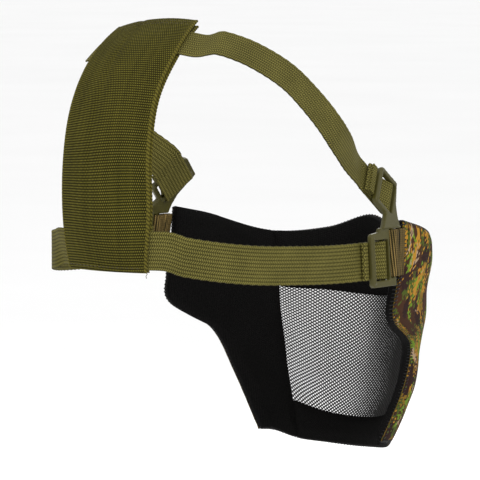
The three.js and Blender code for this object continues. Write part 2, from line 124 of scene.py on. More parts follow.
WINDOW_SIDE = 0.5
WINDOW_LOW = 0.11
WINDOW_HIGH = 0.64
SEAM = 0.004
PAD_DEPTH = 7.5
PAD_EDGE = 7
PAD_SWELL = 1.6
PAD_SKIN = 0.55
SEAM_DEPTH = 1.7
MESH_DEPTH = 3.5
MASK_ROWS = [
    [[0, -114.5, -110], [17.5, -111.5, -109], [32, -104, -107], [41, -94, -102.5], [44, -83, -101]],
    [[0, -125, -89], [22.5, -120, -86], [42, -109.5, -78], [56.5, -94.5, -69], [60, -81.5, -70]],
    [[0, -130.5, -67], [24.5, -124, -63], [46, -110, -56], [62, -91, -47], [71, -73, -43]],
    [[0, -134.5, -45], [25.5, -126.5, -41], [49.5, -110.5, -36], [66.5, -89, -29], [79.5, -45.5, -27]],
    [[0, -138, -22], [26, -128.5, -20], [50.5, -110, -18], [68, -89, -12], [81, -45, -12]],
    [[0, -139, 0], [26, -129, -2], [52, -111, -2], [69.8, -91.5, 3], [82, -50.5, 8]],
    [[0, -133, 21], [26, -125, 13], [54, -110, 10], [73.5, -84, 18.5], [81, -51, 26.5]],
]
LOWER_ROUTE = [[90, 6.5], [78, 7], [66.6, 7.8], [48.8, 9.4], [38, 11.4], [29.8, 13.6], [16.5, 16.9]]
UPPER_ROUTE = [[91.2, 73], [84.7, 83.8], [77.5, 94], [70, 103.5], [64, 109], [54.8, 115.4], [45.5, 120.4],
               [32.4, 124.6]]
UPPER_ROUTE_KNOTS = {"right": 8, "left": 7}
UPPER_ROUTE_END = {"right": [18.8, 127.4], "left": [36, 123.4]}
SIDES = {"left": 1, "right": -1}


def vec(*values):
    return np.array(values, float)


def unit(v):
    v = np.asarray(v, float)
    return v / np.linalg.norm(v)


def smooth(x, low, high):
    t = np.clip((np.asarray(x, float) - low) / (high - low), 0, 1)
    return t * t * (3 - 2 * t)


# ------------------------------------------------------------ node materials

def srgb(r, g, b):
    """Linear RGBA of an 8-bit screen colour."""
    values = [c / 255 for c in (r, g, b)]
    return tuple(c / 12.92 if c <= 0.04045 else ((c + 0.055) / 1.055) ** 2.4 for c in values) + (1.0,)


class Nodes:
    """Short way to build a node tree."""

    def __init__(self, name):
        self.material = bpy.data.materials.new(name)
        self.material.use_nodes = True
        self.tree = self.material.node_tree
        self.shader = self.tree.nodes["Principled BSDF"]

    def put(self, socket, value):
        if isinstance(value, bpy.types.NodeSocket):
            self.tree.links.new(value, socket)
        else:
            socket.default_value = value

    def add(self, kind, inputs=(), **settings):
        node = self.tree.nodes.new(kind)
        for key, value in settings.items():
            setattr(node, key, value)
        for key, value in dict(inputs).items():
            self.put(node.inputs[key], value)
        return node

    def cloth(self):
        """Fabric coordinates in millimetres: across, along."""
        node = self.add("ShaderNodeAttribute", attribute_name="cloth")
        return self.add("ShaderNodeVectorMath", {0: node.outputs["Vector"], 1: (1000, 1000, 1000)},
                        operation="MULTIPLY").outputs[0]

    def object_mm(self):
        node = self.add("ShaderNodeTexCoord")
        return self.add("ShaderNodeVectorMath", {0: node.outputs["Object"], 1: (1000, 1000, 1000)},
                        operation="MULTIPLY").outputs[0]

    def split(self, vector):
        return self.add("ShaderNodeSeparateXYZ", {0: vector}).outputs

    def math(self, operation, *values):
        return self.add("ShaderNodeMath", dict(enumerate(values)), operation=operation).outputs[0]

    def noise(self, vector, scale, detail=2.0, rough=0.5):
        return self.add("ShaderNodeTexNoise", {"Vector": vector, "Scale": scale, "Detail": detail, "Roughness": rough}
                        ).outputs["Fac"]

    def shift(self, vector, offset, stretch=(1, 1, 1)):
        return self.add("ShaderNodeMapping", {"Vector": vector, "Location": offset, "Scale": stretch}).outputs[0]

    def mix(self, factor, a, b):
        node = self.add("ShaderNodeMix", data_type="RGBA")
        self.put(node.inputs["Factor"], factor)
        self.put(node.inputs["A"], a)
        self.put(node.inputs["B"], b)
        return node.outputs["Result"]

    def ramp(self, value, stops):
        node = self.add("ShaderNodeValToRGB", {"Fac": value})
        elements = node.color_ramp.elements
        while len(elements) < len(stops):
            elements.new(0.5)
        for element, (place, colour) in zip(elements, stops):
            element.position = place
            element.color = colour
        return node.outputs["Color"]

    def wave(self, value, pitch):
        """0 to 1 and back once each pitch."""
        turned = self.math("COSINE", self.math("MULTIPLY", value, 2 * math.pi / pitch))
        return self.math("MULTIPLY_ADD", turned, 0.5, 0.5)

    def bump(self, height, distance, strength=1.0, under=None):
        node = self.add("ShaderNodeBump", {"Height": height, "Distance": distance * MM, "Strength": strength})
        if under is not None:
            self.put(node.inputs["Normal"], under)
        return node.outputs["Normal"]

    def finish(self, colour, roughness, normal=None, sheen=0.0, specular=0.3, metallic=0.0):
        self.put(self.shader.inputs["Base Color"], colour)
        self.put(self.shader.inputs["Roughness"], roughness)
        if normal is not None:
            self.put(self.shader.inputs["Normal"], normal)
        self.shader.inputs["Sheen Weight"].default_value = sheen
        self.shader.inputs["Specular IOR Level"].default_value = specular
        self.shader.inputs["Metallic"].default_value = metallic
        return self.material


def knit_material(name, dark, mid, light, row_pitch, zig_pitch):
    """Elastic with rows of slanted stitches running along it, slanting the other way in every second row."""
    n = Nodes(name)
    place = n.cloth()
    x, y, _ = n.split(place)
    rows = n.math("ADD", n.math("DIVIDE", x, row_pitch), 40.5)
    row = n.math("SUBTRACT", n.math("FRACT", rows), 0.5)
    turn = n.math("MULTIPLY_ADD", n.math("FLOORED_MODULO", n.math("FLOOR", rows), 2.0), 2.0, -1.0)
    lean = n.math("MULTIPLY", n.math("MULTIPLY", row, turn), zig_pitch * 0.95)
    stitch = n.math("POWER", n.wave(n.math("ADD", y, lean), zig_pitch), 0.8)
    hill = n.math("COSINE", n.math("MULTIPLY", row, math.pi * 0.9))
    yarn = n.noise(n.shift(place, (0, 0, 0), (1.4, 0.5, 1)), 1.4, 3)
    cloud = n.noise(place, 0.05, 3)
    height = n.math("MULTIPLY", n.math("POWER", hill, 0.5), n.math("MULTIPLY_ADD", stitch, 0.72, 0.28))
    shade = n.math("MULTIPLY_ADD", yarn, 0.24, n.math("MULTIPLY_ADD", height, 0.6, n.math("MULTIPLY", cloud, 0.22)))
    colour = n.ramp(shade, [(0.22, dark), (0.52, mid), (0.92, light)])
    rough = n.math("MULTIPLY_ADD", yarn, 0.15, 0.72)
    return n.finish(colour, rough, n.bump(height, 0.14), specular=0.1)


def rib_material(name, dark, mid, light, cord):
    """Wide webbing with strong cross ribs, beads where the warp passes over, a brighter cord at each edge, and
    lengthwise bands of painted crease shade.
    """
    n = Nodes(name)
    place = n.cloth()
    x, y, _ = n.split(place)
    drift = n.math("MULTIPLY_ADD", n.math("SINE", n.math("ADD", n.math("DIVIDE", x, 8.0), n.math("DIVIDE", y, 21.0))),
                   0.35, y)
    rib = n.wave(drift, RIB_PITCH)
    rib_number = n.math("ROUND", n.math("DIVIDE", drift, RIB_PITCH))
    half_row = n.math("MULTIPLY", n.math("FLOORED_MODULO", rib_number, 2.0), 0.52)
    bead = n.wave(n.math("ADD", x, half_row), 1.04)
    yarn = n.noise(n.shift(place, (3, 1, 0), (0.9, 1.6, 1)), 1.1, 3)
    # column makes lengthwise bands that darken the colour as painted crease shade; cloud is random tone.
    column = n.noise(n.shift(place, (9, 0, 0), (1, 0.02, 1)), 0.3, 2)
    cloud = n.noise(place, 0.035, 3)
    top = n.math("MULTIPLY", n.math("POWER", rib, 0.7), n.math("MULTIPLY_ADD", bead, 0.8, 0.2))
    crease_shade_and_tone = n.math("MULTIPLY_ADD", column, 0.16, n.math("MULTIPLY", cloud, 0.16))
    shade = n.math("MULTIPLY_ADD", yarn, 0.22, n.math("MULTIPLY_ADD", top, 0.6, crease_shade_and_tone))
    colour = n.ramp(shade, [(0.20, dark), (0.50, mid), (0.88, light)])
    rim = n.math("GREATER_THAN", n.math("ABSOLUTE", x), PANEL_HALF - 1.5)
    twist = n.wave(n.math("MULTIPLY_ADD", x, 0.8, y), CORD_PITCH)
    colour = n.mix(n.math("MULTIPLY", rim, 0.85), colour, n.mix(n.math("MULTIPLY_ADD", twist, 0.6, 0.2), dark, cord))
    rough = n.math("MULTIPLY_ADD", yarn, 0.1, 0.84)
    return n.finish(colour, rough, n.bump(top, 0.22), specular=0.08)


def yarn_material(name, dark, mid, light, pitch):
    """Coarse strands lying across the fold of a tab."""
    n = Nodes(name)
    place = n.cloth()
    x, y, _ = n.split(place)
    slant = n.math("MULTIPLY_ADD", x, 0.06, y)
    strand = n.wave(slant, pitch)
    twist = n.wave(n.math("MULTIPLY_ADD", x, 1.0, n.math("MULTIPLY", y, 0.9)), 1.1)
    tint = n.noise(n.shift(place, (1, 5, 0), (0.05, 1.4, 1)), 1.0, 2)
    shade = n.math("MULTIPLY_ADD", tint, 0.7, n.math("MULTIPLY", n.math("MULTIPLY_ADD", twist, 0.25, strand), 0.4))
    colour = n.ramp(shade, [(0.28, dark), (0.58, mid), (0.92, light)])
    return n.finish(colour, 0.8, n.bump(strand, 0.25), specular=0.1)


def camo_material(name, offset):
    """Digital camouflage print on a fine twill, tall soft-edged patches of small squares."""
    n = Nodes(name)
    place = n.shift(n.cloth(), offset)
    cell = n.add("ShaderNodeVectorMath", {0: place, 1: (1.15, 1.15, 1.15)}, operation="SNAP").outputs[0]
    fuzz = n.add("ShaderNodeTexWhiteNoise", {"Vector": cell}, noise_dimensions="3D").outputs["Value"]
    fuzz = n.math("SUBTRACT", fuzz, 0.5)

    def patches(seed, scale, edge, tall=0.5, dither=0.13):
        value = n.noise(n.shift(cell, seed, (1, tall, 1)), scale, 1.5)
        value = n.math("MULTIPLY_ADD", fuzz, dither, value)
        return n.math("GREATER_THAN", value, edge)

    colour = n.mix(patches((3, 8, 1), 0.10, 0.50), srgb(172, 124, 38), srgb(126, 96, 30))
    colour = n.mix(patches((31, 5, 2), 0.10, 0.53), colour, srgb(104, 132, 32))
    colour = n.mix(patches((12, 61, 3), 0.12, 0.61), colour, srgb(166, 140, 110))
    colour = n.mix(patches((77, 14, 4), 0.09, 0.49, dither=0.2), colour, srgb(62, 36, 20))
    colour = n.mix(patches((9, 39, 5), 0.11, 0.56, dither=0.1), colour, srgb(40, 20, 18))
    colour = n.mix(patches((55, 27, 6), 0.16, 0.62, dither=0.25), colour, srgb(70, 84, 26))
    x, y, _ = n.split(place)
    twill = n.wave(n.math("ADD", x, y), 0.62)
    grain = n.noise(place, 1.6, 3)
    fade = n.math("MULTIPLY_ADD", grain, 0.35, n.math("MULTIPLY", twill, 0.2))
    colour = n.mix(fade, colour, n.mix(0.55, colour, srgb(40, 32, 20)))
    return n.finish(colour, 0.85, n.bump(n.math("MULTIPLY_ADD", grain, 0.6, twill), 0.12), specular=0.08)


def lining_material():
    n = Nodes("black_knit")
    place = n.cloth()
    x, y, _ = n.split(place)
    loop = n.math("MULTIPLY", n.wave(x, 1.25), n.wave(n.math("MULTIPLY_ADD", x, 0.4, y), 1.0))
    fluff = n.noise(place, 0.8, 4, 0.6)
    colour = n.ramp(n.math("MULTIPLY_ADD", fluff, 0.6, n.math("MULTIPLY", loop, 0.4)),
                    [(0.2, srgb(4, 4, 4)), (0.7, srgb(18, 17, 16)), (1.0, srgb(38, 36, 34))])
    return n.finish(colour, 0.9, n.bump(n.math("MULTIPLY_ADD", fluff, 0.7, loop), 0.25), specular=0.06)


def plastic_material():
    n = Nodes("olive_plastic")
    place = n.object_mm()
    grain = n.noise(place, 1.4, 4)
    cloud = n.noise(place, 0.09, 2)
    colour = n.mix(cloud, srgb(50, 47, 13), srgb(66, 62, 21))
    # Painted highlight, not wear: random stretched patches mixed a quarter of the way towards a light olive to stand
    # in for glints on the plastic.
    painted_highlight_patch = n.math("GREATER_THAN", n.noise(n.shift(place, (4, 2, 7), (1, 0.3, 1)), 0.9, 4), 0.66)
    colour = n.mix(n.math("MULTIPLY", painted_highlight_patch, 0.25), colour, srgb(96, 90, 48))
    rough = n.math("MULTIPLY_ADD", grain, 0.2, 0.4)
    return n.finish(colour, rough, n.bump(grain, 0.05, 0.6), specular=0.28)


def mesh_material():
    n = Nodes("coated_steel")
    place = n.object_mm()
    spots = n.noise(place, 0.7, 3)
    colour = n.ramp(spots, [(0.3, srgb(8, 8, 7)), (0.7, srgb(22, 21, 19))])
    rough = n.math("MULTIPLY_ADD", spots, 0.2, 0.34)
    return n.finish(colour, rough, n.bump(spots, 0.04, 0.5), specular=0.4)


def thread_material(name, colour):
    n = Nodes(name)
    place = n.object_mm()
    twist = n.noise(place, 2.2, 3)
    return n.finish(n.mix(twist, colour, tuple(0.5 * c for c in colour[:3]) + (1.0,)), 0.75,
                    n.bump(twist, 0.1), sheen=0.1, specular=0.2)


# ------------------------------------------------------------- mesh helpers

def mesh_object(name, points, faces, cloth=None, material=None, sharp_faces=()):
    """New smooth-shaded object from points in millimetres."""
    mesh = bpy.data.meshes.new(name)
    mesh.from_pydata((np.asarray(points, float) * MM).tolist(), [], [list(f) for f in faces])
    mesh.polygons.foreach_set("use_smooth", [True] * len(mesh.polygons))
    if cloth is not None:
        attribute = mesh.attributes.new("cloth", "FLOAT_VECTOR", "POINT")
        attribute.data.foreach_set("vector", (np.asarray(cloth, float) * MM).astype(np.float32).ravel())
    if sharp_faces:
        border = set()
        for f in sharp_faces:
            ring = mesh.polygons[f].vertices
            border.update(frozenset((ring[i], ring[i - 1])) for i in range(len(ring)))
        flags = [frozenset(e.vertices) in border for e in mesh.edges]
        mesh.attributes.new("sharp_edge", "BOOLEAN", "EDGE").data.foreach_set("value", flags)
    mesh.update()
    obj = bpy.data.objects.new(name, mesh)
    bpy.context.scene.collection.objects.link(obj)
    if material is not None:
        mesh.materials.append(material)
    return obj


def ring_faces(count, sides, start=0):
    """Faces of a solid through a row of closed rings, its two end caps last."""
    faces = []
    for i in range(count - 1):
        for j in range(sides):
            a, b = start + i * sides + j, start + i * sides + (j + 1) % sides
            faces.append((a, b, b + sides, a + sides))
    faces.append(tuple(start + j for j in reversed(range(sides))))
    faces.append(tuple(start + (count - 1) * sides + j for j in range(sides)))
    return faces


def sweep(name, rings, cloth, material):
    """Closed solid through a row of closed rings."""
    rings = np.asarray(rings, float)
    faces = ring_faces(*rings.shape[:2])
    caps = (len(faces) - 2, len(faces) - 1)
    obj = mesh_object(name, rings.reshape(-1, 3), faces, np.asarray(cloth, float).reshape(-1, 3), material, caps)
    fix_facing(obj)
    return obj


def threads(name, tubes, material):
    """One object made of many short round threads, each given as its rings."""
    points, faces = [], []
    for rings in tubes:
        faces += ring_faces(*rings.shape[:2], start=len(points))
        points.extend(rings.reshape(-1, 3))
    obj = mesh_object(name, points, faces, None, material)
    fix_facing(obj)
    return obj


def fix_facing(obj):
    """Flips a closed mesh whose faces all look inward."""
    mesh = obj.data
    mesh.calc_loop_triangles()
    points = np.empty(len(mesh.vertices) * 3)
    mesh.vertices.foreach_get("co", points)
    corners = np.empty(len(mesh.loop_triangles) * 3, int)
    mesh.loop_triangles.foreach_get("vertices", corners)
    a, b, c = points.reshape(-1, 3)[corners.reshape(-1, 3)].transpose(1, 0, 2)
    if np.einsum("ij,ij->i", a, np.cross(b, c)).sum() < 0:
        mesh.flip_normals()


def joined(name, objects):
    bpy.ops.object.select_all(action="DESELECT")
    for obj in objects:
        obj.select_set(True)
    bpy.context.view_layer.objects.active = objects[0]
    bpy.ops.object.join()
    objects[0].name = name
    return objects[0]


def apply_modifiers(obj):
    bpy.context.view_layer.update()
    depsgraph = bpy.context.evaluated_depsgraph_get()
    mesh = bpy.data.meshes.new_from_object(obj.evaluated_get(depsgraph))
    obj.modifiers.clear()
    obj.data = mesh


def tube_points(path, radius, sides=8):
    """Rings of a round tube along a path."""
    path = np.asarray(path, float)
    rings = []
    up = vec(0.31, 0.17, 0.93)
    for i, point in enumerate(path):
        along = unit(path[min(i + 1, len(path) - 1)] - path[max(i - 1, 0)])
        a = unit(np.cross(along, up))
        up = np.cross(a, along)
        turn = np.linspace(0, 2 * math.pi, sides, endpoint=False)
        r = radius[i] if np.ndim(radius) else radius
        rings.append(point + r * (np.outer(np.cos(turn), a) + np.outer(np.sin(turn), up)))
    return np.array(rings)


# ---------------------------------------------------------------- head form

def form_point(degrees, height):
    angle = math.radians(degrees)
    x, y = math.sin(angle), math.cos(angle)
    rise = max(height - FORM["base"], 0) / FORM["crown"]
    hollow = FORM["nape"] * max(y, 0) * (max(FORM["base"] - height, 0) / FORM["nape_height"]) ** 2
    depth = FORM["back"] if y > 0 else FORM["front"]
    p = FORM["roundness"]
    span = (abs(x / FORM["half"]) ** p + abs(y / depth) ** p) ** (-1 / p)
    reach = span * (1 - rise ** FORM["taper"]) ** (1 / FORM["taper"]) * (1 - hollow)
    return vec(x * reach, y * reach, height)


def form_normal(point):
    p, q = FORM["roundness"], FORM["taper"]
    depth = FORM["back"] if point[1] > 0 else FORM["front"]
    x, y = abs(point[0] / FORM["half"]), abs(point[1] / depth)
    level = (x ** p + y ** p) ** ((q - p) / p)
    rise = max(point[2] - FORM["base"], 0) / FORM["crown"]
    return unit([level * math.copysign(x ** (p - 1), point[0]) / FORM["half"],
                 level * math.copysign(y ** (p - 1), point[1]) / depth,
                 rise ** (q - 1) / FORM["crown"]])


def arc_lengths(points):
    return np.concatenate([[0], np.cumsum(np.linalg.norm(np.diff(points, axis=0), axis=1))])


def at_length(s, places, line):
    """Point of a polyline at the arc length s; places are the arc lengths of its points."""
    return np.array([np.interp(s, places, line[:, c]) for c in range(3)])


def directions(line):
    way = np.gradient(line, axis=0)
    return way / np.linalg.norm(way, axis=1)[:, None]


def resampled(points, step):
    """Points of a polyline at even steps, with the arc length of each."""
    points = np.asarray(points, float)
    length = arc_lengths(points)
    count = max(int(round(length[-1] / step)), 2)
    places = np.linspace(0, length[-1], count + 1)
    return np.stack([np.interp(places, length, points[:, i]) for i in range(points.shape[1])], 1), places


def smooth_curve(knots, step=0.75):
    """Centripetal Catmull-Rom curve through knots, at even steps."""
    k = np.asarray(knots, float)
    k = np.vstack([2 * k[0] - k[1], k, 2 * k[-1] - k[-2]])
    dense = []
    for i in range(1, len(k) - 2):
        a, b, c, d = k[i - 1], k[i], k[i + 1], k[i + 2]
        t = [0.0]
        for p, q in ((a, b), (b, c), (c, d)):
            t.append(t[-1] + max(np.linalg.norm(q - p), 1e-6) ** 0.5)
        for s in np.linspace(t[1], t[2], 24, endpoint=False):
            a1 = (t[1] - s) / (t[1] - t[0]) * a + (s - t[0]) / (t[1] - t[0]) * b
            a2 = (t[2] - s) / (t[2] - t[1]) * b + (s - t[1]) / (t[2] - t[1]) * c
            a3 = (t[3] - s) / (t[3] - t[2]) * c + (s - t[2]) / (t[3] - t[2]) * d
            b1 = (t[2] - s) / (t[2] - t[0]) * a1 + (s - t[0]) / (t[2] - t[0]) * a2
            b2 = (t[3] - s) / (t[3] - t[1]) * a2 + (s - t[1]) / (t[3] - t[1]) * a3
            dense.append((t[2] - s) / (t[2] - t[1]) * b1 + (s - t[1]) / (t[2] - t[1]) * b2)
    dense.append(k[-2])
    return resampled(dense, step)


# -------------------------------------------------------------------- straps

def strap_profile(width, thick, rows, per_row=4, groove=0.08):
    """Closed cross-section (across, up, face): ribs on both faces and rounded edges."""
    across = np.linspace(-width / 2 + thick * 0.35, width / 2 - thick * 0.35, rows * per_row + 1)
    phase = np.mod(across / (width / rows) + rows / 2, 1.0) - 0.5
    up = thick / 2 - groove * (1 - np.cos(phase * math.pi * 0.98))
    top = [(w, h, 0) for w, h in zip(across, up)]
    round_in, round_up = width / 2 - thick * 0.1, thick * 0.33
    edge = [(round_in, round_up, 0.3), (width / 2, 0, 0.5), (round_in, -round_up, 0.7)]
    low = [(w, -h, 1) for w, h in zip(across[::-1], up[::-1])]
    other = [(-w, h, f) for w, h, f in reversed(edge)]
    return np.array(top + edge + low + other)


def strap_rings(points, ups, acrosses, places, profile, tooth=0.13, tooth_pitch=0.9, start=0.0):
    """Rings of a strap along a path; its edges are toothed like a knitted selvedge."""
    rings, cloth = [], []
    half = abs(profile[:, 0]).max()
    rim = smooth(abs(profile[:, 0]), half - 0.9, half)
    for point, up, across, place in zip(points, ups, acrosses, places):
        wobble = tooth * math.cos(2 * math.pi * (place + start) / tooth_pitch)
        w = profile[:, 0] + np.sign(profile[:, 0]) * rim * wobble
        rings.append(point + np.outer(w, across) + np.outer(profile[:, 1], up))
        cloth.append(np.stack([profile[:, 0], np.full(len(w), place + start), profile[:, 2] * 3], 1))
    return np.array(rings), np.array(cloth)


def plate_frame(side, lean, yaw):
    """Directions of a buckle plate: backward, up, outward."""
    u = vec(side * math.sin(yaw), math.cos(yaw), 0)
    n = vec(side * math.cos(lean) * math.cos(yaw), -math.cos(lean) * math.sin(yaw), math.sin(lean))
    return u, side * np.cross(n, u), n


def arm_frame(side, name):
    """Directions along, across and out of a buckle arm, and where the arm starts."""
    arm = ARMS[name]
    u0, v0, n0 = plate_frame(side, BUCKLE_LEAN, 0)
    start = vec(side * BUCKLE_ORIGIN[0], BUCKLE_ORIGIN[1], BUCKLE_ORIGIN[2])
    if name == "upper":
        start = start + v0 * FOLD
    u, v, n = plate_frame(side, UPPER_LEAN, UPPER_YAW) if name == "upper" else (u0, v0, n0)
    start = start + u * arm["u"] + v * arm["v"]
    along = u * math.cos(arm["angle"]) + v * math.sin(arm["angle"])
    across = v * math.cos(arm["angle"]) - u * math.sin(arm["angle"])
    return along, across, n, start


def flat_strap(name, side, arm, path, profile, material, start=0.0, step=0.5):
    """Strap that keeps to the plane of its buckle arm; path is (along, depth)."""
    along, across, n, origin = arm_frame(side, arm)
    line, places = resampled(path, step)
    direction = directions(line)
    points = origin + np.outer(line[:, 0], along) + np.outer(line[:, 1], n)
    ups = np.outer(-direction[:, 1], along) + np.outer(direction[:, 0], n)
    rings, cloth = strap_rings(points, ups, [across] * len(points), places, profile, start=start)
    return sweep(name, rings, cloth, material)


def arc(cx, cy, radius, start, end, count):
    angles = np.radians(np.linspace(start, end, count))
    return [(cx + radius * math.cos(a), cy + radius * math.sin(a)) for a in angles]


def loop_path():
    radius = INNER_BAR["radius"] + GAP + STRAP_THICK / 2
    path = [(LOOP_END, MAIN_DEPTH), (14, MAIN_DEPTH)]
    path += arc(INNER_BAR["along"], INNER_BAR["depth"], radius, -90, -265, 26)
    return path


def tail_path(arm):
    """From the top of the bar, under the outer bar, then folded back on itself as a hem."""
    radius = INNER_BAR["radius"] + GAP + STRAP_THICK / 2
    path = arc(INNER_BAR["along"], INNER_BAR["depth"], radius, 95, 66, 8)
    path += [(11.5, TAIL_DEPTH + 1.25), (13.4, TAIL_DEPTH + 0.5), (15.2, TAIL_DEPTH), (18, TAIL_DEPTH)]
    far = ARMS[arm]["length"] + (6.0 if arm == "upper" else 4.1)
    near = ARMS[arm]["length"] + 1.3
    turn = STRAP_THICK / 2 + 0.07
    path += [(far - turn, TAIL_DEPTH)]
    path += arc(far - turn, TAIL_DEPTH + turn, turn, -80, 90, 8)
    if arm == "upper":
        path += [(near + turn + 0.2, TAIL_DEPTH + 2 * turn)]
        path += arc(near + turn, TAIL_DEPTH + 3 * turn, turn, 280, 90, 9)
        path += [(far - 0.9, TAIL_DEPTH + 4 * turn - 0.1)]
    else:
        path += [(near - 0.3, TAIL_DEPTH + 2 * turn)]
    return path


def main_strap(side_name, arm):
    """Centre line and frames of the strap from its buckle to the back panel."""
    side = SIDES[side_name]
    along, across, n, origin = arm_frame(side, arm)
    lead = [origin + along * s + n * MAIN_DEPTH for s in (LOOP_END, LOOP_END + 3, LOOP_END + 6)]
    route = LOWER_ROUTE
    if arm == "upper":
        route = UPPER_ROUTE[:UPPER_ROUTE_KNOTS[side_name]] + [UPPER_ROUTE_END[side_name]]
    lift = STRAP_LIFT + STRAP_THICK / 2
    knots = list(lead)
    for degrees, height in route[:-1]:
        point = form_point(side * degrees, height)
        knots.append(point + form_normal(point) * lift)
    # the last stretch lies between the panel's layers
    entry = STRAP_ENTRY[side_name] if arm == "upper" else SLEEVE_HEIGHT
    axes = panel_axes(entry)
    for share in (1.0, STRAP_END_SHARE):
        knots.append(panel_row(axes, [-side * share], lift)[0])
    across_end = unit(panel_row(axes, [-side], 0)[0] - panel_row(axes, [-side * 0.9], 0)[0])
    above = panel_row(panel_axes(entry + 6), [-side * 0.95], 0)[0]
    below = panel_row(panel_axes(entry - 6), [-side * 0.95], 0)[0]
    end_normal = unit(np.cross(unit(above - below), across_end))
    if np.dot(end_normal, axes[1]) < 0:
        end_normal = -end_normal
    points, places = smooth_curve(knots)
    tangents = np.gradient(points, axis=0)
    tangents[0] = along
    tangents /= np.linalg.norm(tangents, axis=1)[:, None]
    ups, acrosses = [], []
    for point, tangent in zip(points, tangents):
        share = smooth(np.linalg.norm(point - lead[0]), 5, 32)
        normal = unit(n * (1 - share) + form_normal(point) * share)
        late = smooth(np.linalg.norm(point - knots[-1]), 22, 5)
        normal = unit(normal * (1 - late) + end_normal * late)
        side_way = unit(np.cross(tangent, normal))
        if np.dot(side_way, across) < 0:
            side_way = -side_way
        acrosses.append(side_way)
        up = np.cross(side_way, tangent)
        ups.append(unit(up if np.dot(up, normal) > 0 else -up))
    return points, np.array(ups), np.array(acrosses), places


# --------------------------------------------------------------- back panel

def catmull(values, share):
    last = len(values) - 1
    place = min(max(share, 0), 1) * last
    i = min(int(place), last - 1)
    b, c = values[i], values[i + 1]
    a = values[i - 1] if i > 0 else 2 * b - c
    d = values[i + 2] if i + 2 <= last else 2 * c - b
    t = place - i
    return 0.5 * (2 * b + (c - a) * t + (2 * a - 5 * b + 4 * c - d) * t * t + (3 * b - a - 3 * c + d) * t ** 3)


def panel_table():
    heights = np.linspace(PANEL_HEIGHTS[0], PANEL_HEIGHTS[-1], 400)
    points = np.array([form_point(0, h) for h in heights])
    return heights, arc_lengths(points)


TABLE_HEIGHTS, TABLE_LENGTHS = panel_table()
PANEL_LENGTH = TABLE_LENGTHS[-1]


def panel_centre(height):
    share = float(np.interp(height, TABLE_HEIGHTS, TABLE_LENGTHS)) / PANEL_LENGTH
    point = form_point(0, height)
    point[0] = PANEL_LEAN["low"] + (PANEL_LEAN["top"] - PANEL_LEAN["low"]) * share ** PANEL_LEAN["power"]
    return point, share


def panel_axes(height):
    point, share = panel_centre(height)
    normal = form_normal(point)
    above = panel_centre(min(height + 1, PANEL_HEIGHTS[-1]))[0]
    below = panel_centre(max(height - 1, PANEL_HEIGHTS[0]))[0]
    across = unit(np.cross(unit(above - below), normal))
    return point, normal, across, share


def axes_at_length(length):
    return panel_axes(float(np.interp(length, TABLE_LENGTHS, TABLE_HEIGHTS)))


def panel_edge(share, side_name):
    return catmull(PANEL_EDGES[side_name], share)


def panel_row(axes, ws, levels):
    """Points across the panel; ws run from -1 at the wearer's left edge to 1 at the right edge."""
    point, normal, across, share = axes
    ws = np.asarray(ws, float)
    offset = np.where(ws > 0, ws * panel_edge(share, "right"), ws * panel_edge(share, "left"))
    radius = PANEL_RADIUS["low"] + PANEL_RADIUS["more"] * share
    turn = offset / radius
    roll = PANEL_ROLL * share ** 2
    right = (radius + levels) * np.sin(turn)
    out = (radius + levels) * np.cos(turn) - radius
    return (point + np.outer(right * math.cos(roll) + out * math.sin(roll), across)
            + np.outer(out * math.cos(roll) - right * math.sin(roll) - PANEL_DROP * share ** 2, normal))


def panel_layer(name, lift, material, bow=0.0, spread=1.0, rows_per_rib=5):
    """One layer of webbing with raised cross ribs and a twisted cord along each edge."""
    rows = int(PANEL_LENGTH / RIB_PITCH * rows_per_rib)
    half = PANEL_HALF
    across = np.linspace(-half + 0.9, half - 0.9, 70)
    top = [(w, 1, 0) for w in across]
    edge = [(half - 0.4, 1.0, 0.3), (half, 0.55, 0.4), (half + 0.15, 0, 0.5), (half, -0.55, 0.6),
            (half - 0.4, -1.0, 0.7)]
    low = [(w, -1, 1) for w in across[::-1]]
    profile = np.array(top + edge + low + [(-w, h, f) for w, h, f in reversed(edge)])
    w, h, face = profile.T
    cord_share = smooth(abs(w), half - 1.9, half - 1.4)
    rings, cloth = [], []
    for i in range(rows + 1):
        length = PANEL_LENGTH * i / rows
        drift = length + 0.35 * np.sin(w / 8 + length / 21)
        rib = (0.5 + 0.5 * np.cos(2 * math.pi * drift / RIB_PITCH)) ** 0.7
        column = 0.5 + 0.5 * np.cos(2 * math.pi * w / 3.0 + 0.4 * math.sin(length / 9))
        cord = 0.5 + 0.5 * np.cos(2 * math.pi * (length + w * 0.8) / CORD_PITCH)
        flat = PANEL_THICK / 2 - 0.17 * (1 - rib) - 0.04 * column
        thick = flat * (1 - cord_share) + (PANEL_THICK / 2 - 0.06 + 0.16 * cord) * cord_share
        dip = 0.5 * np.exp(-((w + 5.5) / 2.0) ** 2) * smooth(length, 20, 60)
        wave = 0.16 * np.sin(length / 15 + w / 12) * (1 - (w / half) ** 2)
        sag = bow * (1 - smooth(length, 0, 26)) * (1 - (w / half) ** 2)
        level = lift + PANEL_THICK / 2 + h * thick - dip * (1 - cord_share) * 0.6 + wave + sag
        wobble = 1 + 0.0035 * np.cos(2 * math.pi * length / CORD_PITCH) * cord_share
        rings.append(panel_row(axes_at_length(length), w / half * wobble * spread, level))
        cloth.append(np.stack([w, np.full(len(w), length), face * 3], 1))
    return sweep(name, rings, cloth, material)


def panel_profile_axes(profile, height, sign=1):
    """Panel axes under each point of a strap's cross-section, so that the strap bends with the panel."""
    middle = float(np.interp(height, TABLE_HEIGHTS, TABLE_LENGTHS))
    return [axes_at_length(middle + sign * w) for w in profile[:, 0]]


def panel_ring(profile, axes, share):
    """Cross-section of a strap laid between the panel's layers."""
    level = STRAP_LIFT + STRAP_THICK / 2
    return np.array([panel_row(each, [share], level + h)[0] for each, h in zip(axes, profile[:, 1])])


